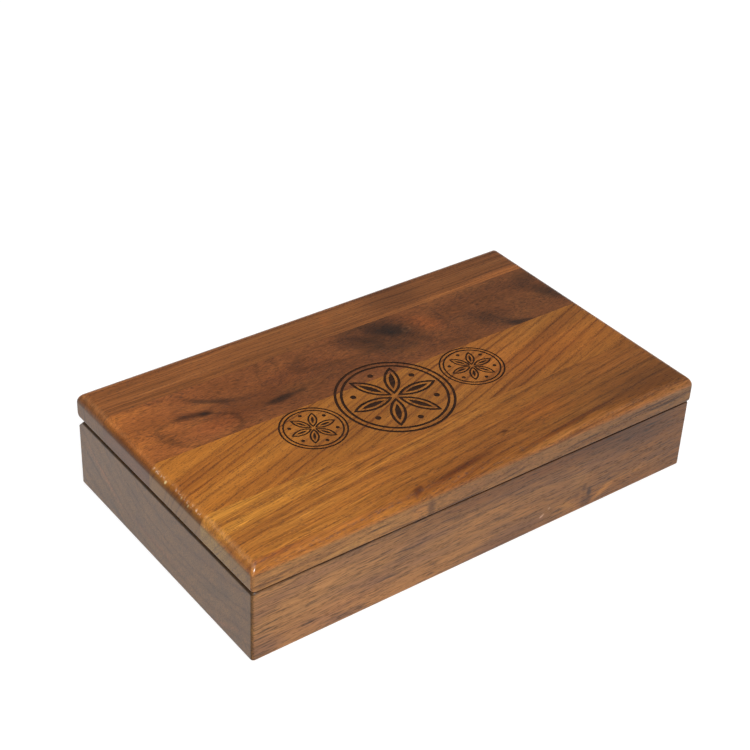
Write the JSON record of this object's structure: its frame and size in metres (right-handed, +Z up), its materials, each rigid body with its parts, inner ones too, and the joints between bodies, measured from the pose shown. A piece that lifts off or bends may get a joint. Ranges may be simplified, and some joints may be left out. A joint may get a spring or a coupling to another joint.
{
  "type": "storage box",
  "caption": "Shallow hinged box for papers and keepsakes: a milled walnut block with a thick round-edged slab lid on brass butt hinges.",
  "frame": {"origin": "middle of the body's flat underside, on the surface that the box stands on", "axes": "+X along the front from left to right, +Y from the front to the hinged back, +Z up"},
  "size_m": [0.306, 0.1813, 0.0633],
  "materials": {
    "walnut_block": "satin lacquer",
    "walnut_rear_board": "satin lacquer",
    "walnut_knotty_board": "satin lacquer",
    "walnut_golden_board": "satin lacquer",
    "walnut_front_board": "satin lacquer",
    "satin_brass": "satin",
    "screw_brass": "bright",
    "clear_bumper": "clear"
  },
  "bodies": {
    "box": {"box_body": "walnut_block", "left_hinge_body_leaf": "satin_brass", "left_hinge_pin": "satin_brass", "left_hinge_body_screws": "screw_brass", "right_hinge_body_leaf": "satin_brass", "right_hinge_pin": "satin_brass", "right_hinge_body_screws": "screw_brass", "rim_bumpers": "clear_bumper"},
    "lid": {"lid_board_rear": "walnut_rear_board", "lid_board_knotty": "walnut_knotty_board", "lid_board_golden": "walnut_golden_board", "lid_board_front": "walnut_front_board", "left_hinge_lid_leaf": "satin_brass", "left_hinge_lid_screws": "screw_brass", "right_hinge_lid_leaf": "satin_brass", "right_hinge_lid_screws": "screw_brass"}
  },
  "joints": [
    {"name": "lid_hinge", "type": "hinge", "parent": "box", "child": "lid", "pos_m": [0, 0.087, 0.0465], "axis": [-1, 0, 0], "range_deg": [0, 110]}
  ]
}
